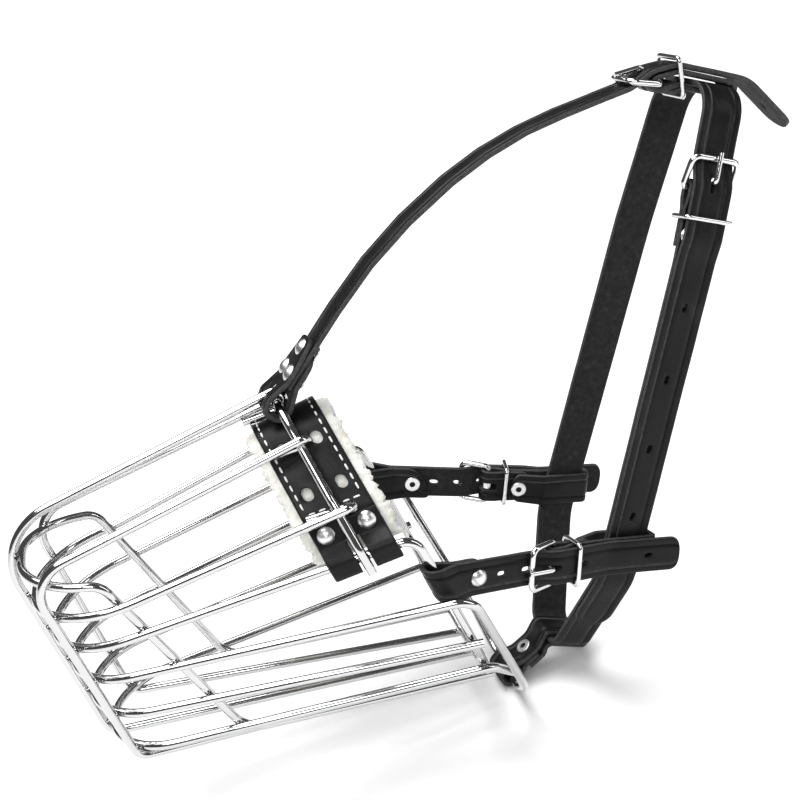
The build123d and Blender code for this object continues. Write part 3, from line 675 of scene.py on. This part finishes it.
def wool_pad():
    """A thick strip with rounded, ragged edges and a lumpy surface."""
    half, thick = 16.5, 2.5
    outline = [(half * k / 20, thick) for k in range(-19, 20)]
    outline += [(half + 0.2, thick * 0.6), (half + 0.5, 0.0), (half + 0.2, -thick * 0.6)]
    outline += [(half * k / 20, -thick) for k in range(19, -20, -1)]
    outline += [(-half - 0.2, -thick * 0.6), (-half - 0.5, 0.0), (-half - 0.2, thick * 0.6)]
    bm = bmesh.new()
    rings = []
    for index, (spot, way) in enumerate(felt_line):
        out = Vector((-way.y, way.x))
        ends = min(index, len(felt_line) - 1 - index) * 0.8
        trim = min(1.0, 0.55 + ends / 4)
        ring = []
        for across, height in outline:
            base = pad_view(*(spot + out * height * trim), across)
            lump = noise.noise(base * 0.22) * 0.5 + noise.noise(base * 0.9) * 0.3
            ragged = noise.noise(Vector((spot.x * 0.34, spot.y * 0.34, across))) * 0.9
            ragged += noise.noise(Vector((spot.x * 0.75, spot.y * 0.75, across))) * 1.5
            outer = abs(across) / half
            grow = ragged * max(0.0, outer - 0.8) * 5 * (1 if across > 0 else -1)
            face = 1 if height > 0 else -1
            proud = lump * face * (0.3 if outer < 0.8 and height < 0 else 0.8)
            if height < 0:
                for u, v in ((26.7, 40.7), (14.0, 55.2)):
                    spread = Vector((abs(spot.x) - u + 2.4, spot.y - v + 2.4, abs(across) - 6.6))
                    proud -= 0.9 * math.exp(-spread.length_squared / 4.5)
            at = pad_view(*(spot + out * (height * trim + proud)), across + grow)
            ring.append(bm.verts.new(at * MM))
        rings.append(ring)
    count = len(outline)
    for ring, following in zip(rings, rings[1:]):
        for k in range(count):
            bm.faces.new((ring[k], ring[(k + 1) % count], following[(k + 1) % count], following[k]))
    bm.faces.new(rings[0])
    bm.faces.new(rings[-1])
    bmesh.ops.recalc_face_normals(bm, faces=bm.faces)
    mesh = bpy.data.meshes.new("nose_pad_wool")
    bm.to_mesh(mesh)
    bm.free()
    piece = new_object("nose_pad_wool", mesh, [WOOL])
    piece.data.shade_smooth()
    return piece


wool = wool_pad()
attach(wool, "basket")
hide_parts("nose_pad_felt")

# ---- finishes of the CAD metal -------------------------------------------------------------------
for name, node in nodes.items():
    if "rivet" in name:
        finish = NICKEL
    elif "buckle" in name or "keeper" in name:
        finish = BUCKLE
    elif "wire" in name:
        finish = CHROME
    else:
        continue
    for slot in node.material_slots:
        slot.material = finish


# ---- floor, light and camera ---------------------------------------------------------------------
def plane(name, size, spot, aim, material, seen=True):
    bm = bmesh.new()
    x, y = size[0] / 2, size[1] / 2
    bm.faces.new([bm.verts.new(p) for p in ((-x, -y, 0), (x, -y, 0), (x, y, 0), (-x, y, 0))])
    mesh = bpy.data.meshes.new(name)
    bm.to_mesh(mesh)
    bm.free()
    piece = new_object(name, mesh, [material])
    piece.location = spot
    if aim:
        piece.rotation_euler = (Vector(aim) - Vector(spot)).to_track_quat("Z", "Y").to_euler()
    piece.visible_camera = seen
    return piece


def softbox(name, size, spot, watts):
    lamp = bpy.data.lights.new(name, "AREA")
    lamp.shape = "RECTANGLE"
    lamp.size, lamp.size_y = size
    lamp.energy = watts
    holder = bpy.data.objects.new(name, lamp)
    holder.location = spot
    holder.rotation_euler = (Vector((0.02, 0, 0.02)) - Vector(spot)).to_track_quat("-Z", "Y").to_euler()
    bpy.context.scene.collection.objects.link(holder)


paper = Nodes("studio_floor", 0.9)
paper.set("Base Color", (0.93, 0.93, 0.93, 1))
floor_height = cad_box[0][2] - 0.0005
plane("floor", (80, 80), (0, 0, floor_height), None, paper.material)

FORWARD_AZ, FORWARD_EL, ROLL = math.radians(-10.02), math.radians(23.18), math.radians(-13.85)
forward = -Vector((math.sin(FORWARD_AZ) * math.cos(FORWARD_EL), -math.cos(FORWARD_AZ) * math.cos(FORWARD_EL),
                   math.sin(FORWARD_EL)))
right = forward.cross(Vector((0, 0, 1))).normalized()
upward = right.cross(forward)
camera_x = right * math.cos(ROLL) + upward * math.sin(ROLL)
camera_y = upward * math.cos(ROLL) - right * math.sin(ROLL)
camera_spot = Vector((-0.05221, -0.41847, 0.23396))
lens = bpy.data.cameras.new("camera")
lens.lens = 54.0
lens.sensor_width = 36.0
lens.clip_start = 0.01
camera = bpy.data.objects.new("camera", lens)
bpy.context.scene.collection.objects.link(camera)
camera.matrix_world = Matrix.Translation(camera_spot) @ Matrix((camera_x, camera_y, -forward)).transposed().to_4x4()
bpy.context.scene.camera = camera

softbox("key", (0.4, 0.4), (-0.45, -0.6, 0.9), 4.0)
softbox("front", (0.35, 0.25), camera_spot - forward * 0.5 + Vector((0, 0, 0.22)), 3.0)
softbox("fill", (0.2, 0.8), (0.85, -0.45, 0.5), 2.0)
sky = bpy.data.lights.new("sky", "SUN")
sky.energy = 3.9
sky.angle = math.radians(48)
sky_holder = bpy.data.objects.new("sky", sky)
sky_holder.rotation_euler = (math.radians(-14), math.radians(-12), 0)
bpy.context.scene.collection.objects.link(sky_holder)

world = bpy.data.worlds.new("studio")
world.use_nodes = True
backdrop = world.node_tree.nodes["Background"]
backdrop.inputs["Color"].default_value = (1, 1, 1, 1)
seen = world.node_tree.nodes.new("ShaderNodeLightPath")
level = world.node_tree.nodes.new("ShaderNodeMapRange")
level.inputs["To Min"].default_value = 0.10
level.inputs["To Max"].default_value = 1.0
world.node_tree.links.new(seen.outputs["Is Camera Ray"], level.inputs["Value"])
world.node_tree.links.new(level.outputs["Result"], backdrop.inputs["Strength"])
bpy.context.scene.world = world
bpy.context.scene.view_settings.view_transform = "Standard"
